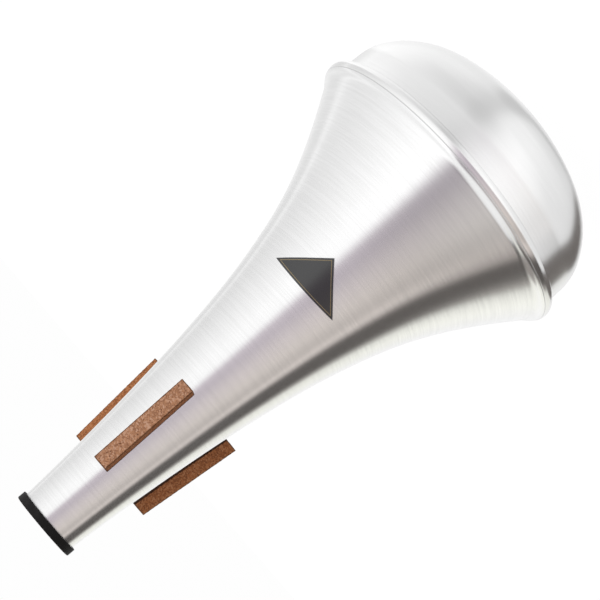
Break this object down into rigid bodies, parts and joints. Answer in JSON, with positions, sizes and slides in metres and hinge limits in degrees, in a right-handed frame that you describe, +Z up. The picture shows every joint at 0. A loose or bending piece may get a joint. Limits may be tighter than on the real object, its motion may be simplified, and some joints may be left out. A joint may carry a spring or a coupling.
{
  "type": "bass trombone straight mute",
  "caption": "Straight mute for a bass trombone: flared aluminium body, domed cap on a rolled seam, cork strips at the neck, soft mouth ring and a plain triangular badge.",
  "frame": {"origin": "the middle of the flat foot at the bottom of the domed cap", "axes": "+Z up the mute's axis to the open mouth; -Y through the front cork strip, which is over the badge"},
  "size_m": [0.16, 0.16, 0.3013],
  "materials": {
    "flared_body": "fine circumferential brushing on spun aluminium",
    "domed_cap": "satin-polished spun aluminium",
    "mouth_ring": "matt black rubber",
    "cork": "raw agglomerated cork, reddish brown with dark and pale grains",
    "badge": "satin black sticker, bare"
  },
  "bodies": {
    "root": {"flared_body": "flared_body", "domed_cap": "domed_cap", "mouth_ring": "mouth_ring", "cork_front": "cork", "cork_right": "cork", "cork_left": "cork", "badge": "badge"}
  },
  "joints": []
}
